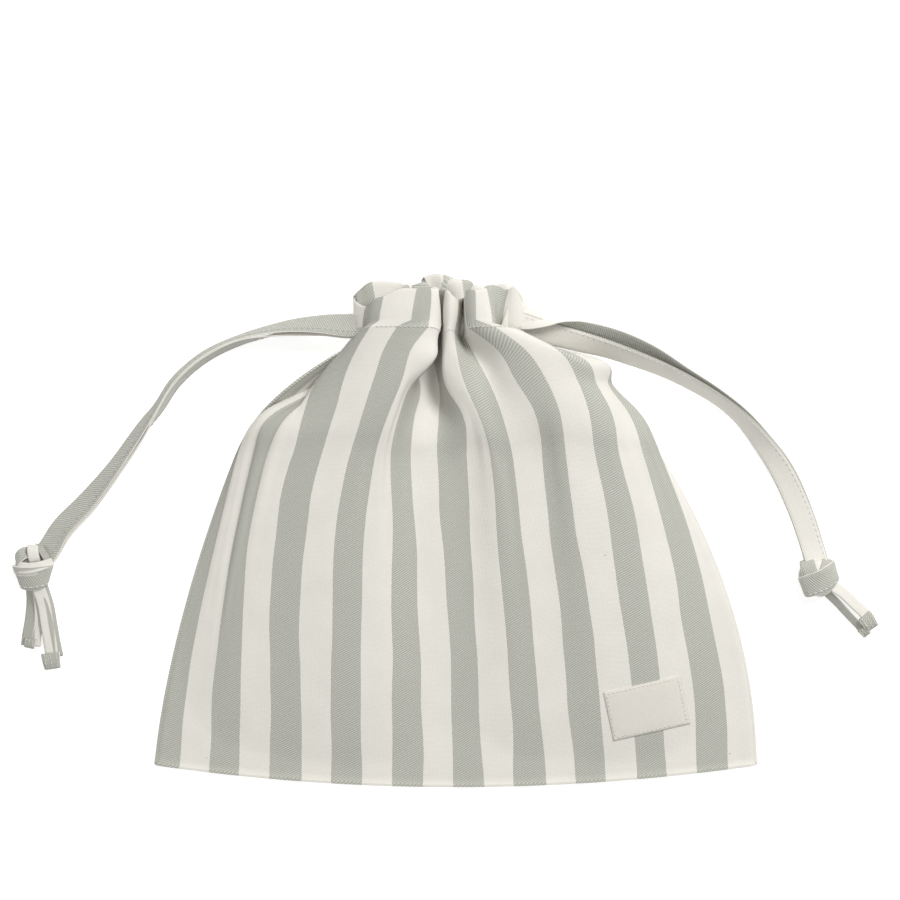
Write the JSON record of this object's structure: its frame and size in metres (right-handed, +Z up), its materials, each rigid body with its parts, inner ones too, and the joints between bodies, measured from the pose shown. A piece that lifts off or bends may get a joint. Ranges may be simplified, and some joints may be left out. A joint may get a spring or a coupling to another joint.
{
  "type": "drawstring laundry bag",
  "caption": "Striped cotton drawstring bag lying flat, with a gathered mouth, a flat drawstring knotted on each side and a sewn label.",
  "frame": {"origin": "under the middle of the bag, on the surface it lies on", "axes": "+X to the bag's right as it lies face up, +Y towards the mouth, +Z up, out of the front panel"},
  "size_m": [0.5156, 0.304, 0.0334],
  "materials": {
    "striped_cotton": "woven cotton twill in cream and sage stripes",
    "tape": "folded and stitched cotton tape",
    "label_ribbon": "smooth woven ribbon",
    "thread": "cotton sewing thread"
  },
  "bodies": {
    "bag": {"front_panel": "striped_cotton", "back_panel": "striped_cotton", "front_casing": "striped_cotton", "back_casing": "striped_cotton", "left_side_seam": "striped_cotton", "right_side_seam": "striped_cotton", "bottom_seam": "striped_cotton", "left_opening_tack": "thread", "right_opening_tack": "thread", "front_casing_stitching": "thread", "back_casing_stitching": "thread", "label": "label_ribbon", "label_stitching": "thread"},
    "left_string": {"left_front_run": "tape", "left_back_run": "tape", "left_bight": "tape"},
    "left_ends": {"left_front_end": "tape", "left_back_end": "tape", "left_knot": "tape", "left_front_tail": "tape", "left_back_tail": "tape"},
    "right_string": {"right_front_run": "tape", "right_back_run": "tape", "right_bight": "tape"},
    "right_ends": {"right_front_end": "tape", "right_back_end": "tape", "right_knot": "tape", "right_front_tail": "tape", "right_back_tail": "tape"}
  },
  "joints": [
    {"name": "left_pull", "type": "slide", "parent": "bag", "child": "left_string", "axis": [-1, 0, 0], "range_m": [-0.006, 0.008]},
    {"name": "left_swing", "type": "hinge", "parent": "left_string", "child": "left_ends", "pos_m": [-0.086, 0.1296, 0.0165], "axis": [0, 0, -1], "range_deg": [-10, 40]},
    {"name": "right_pull", "type": "slide", "parent": "bag", "child": "right_string", "axis": [1, 0, 0], "range_m": [-0.006, 0.008]},
    {"name": "right_swing", "type": "hinge", "parent": "right_string", "child": "right_ends", "pos_m": [0.066, 0.1296, 0.0165], "axis": [0, 0, 1], "range_deg": [-10, 40]}
  ]
}
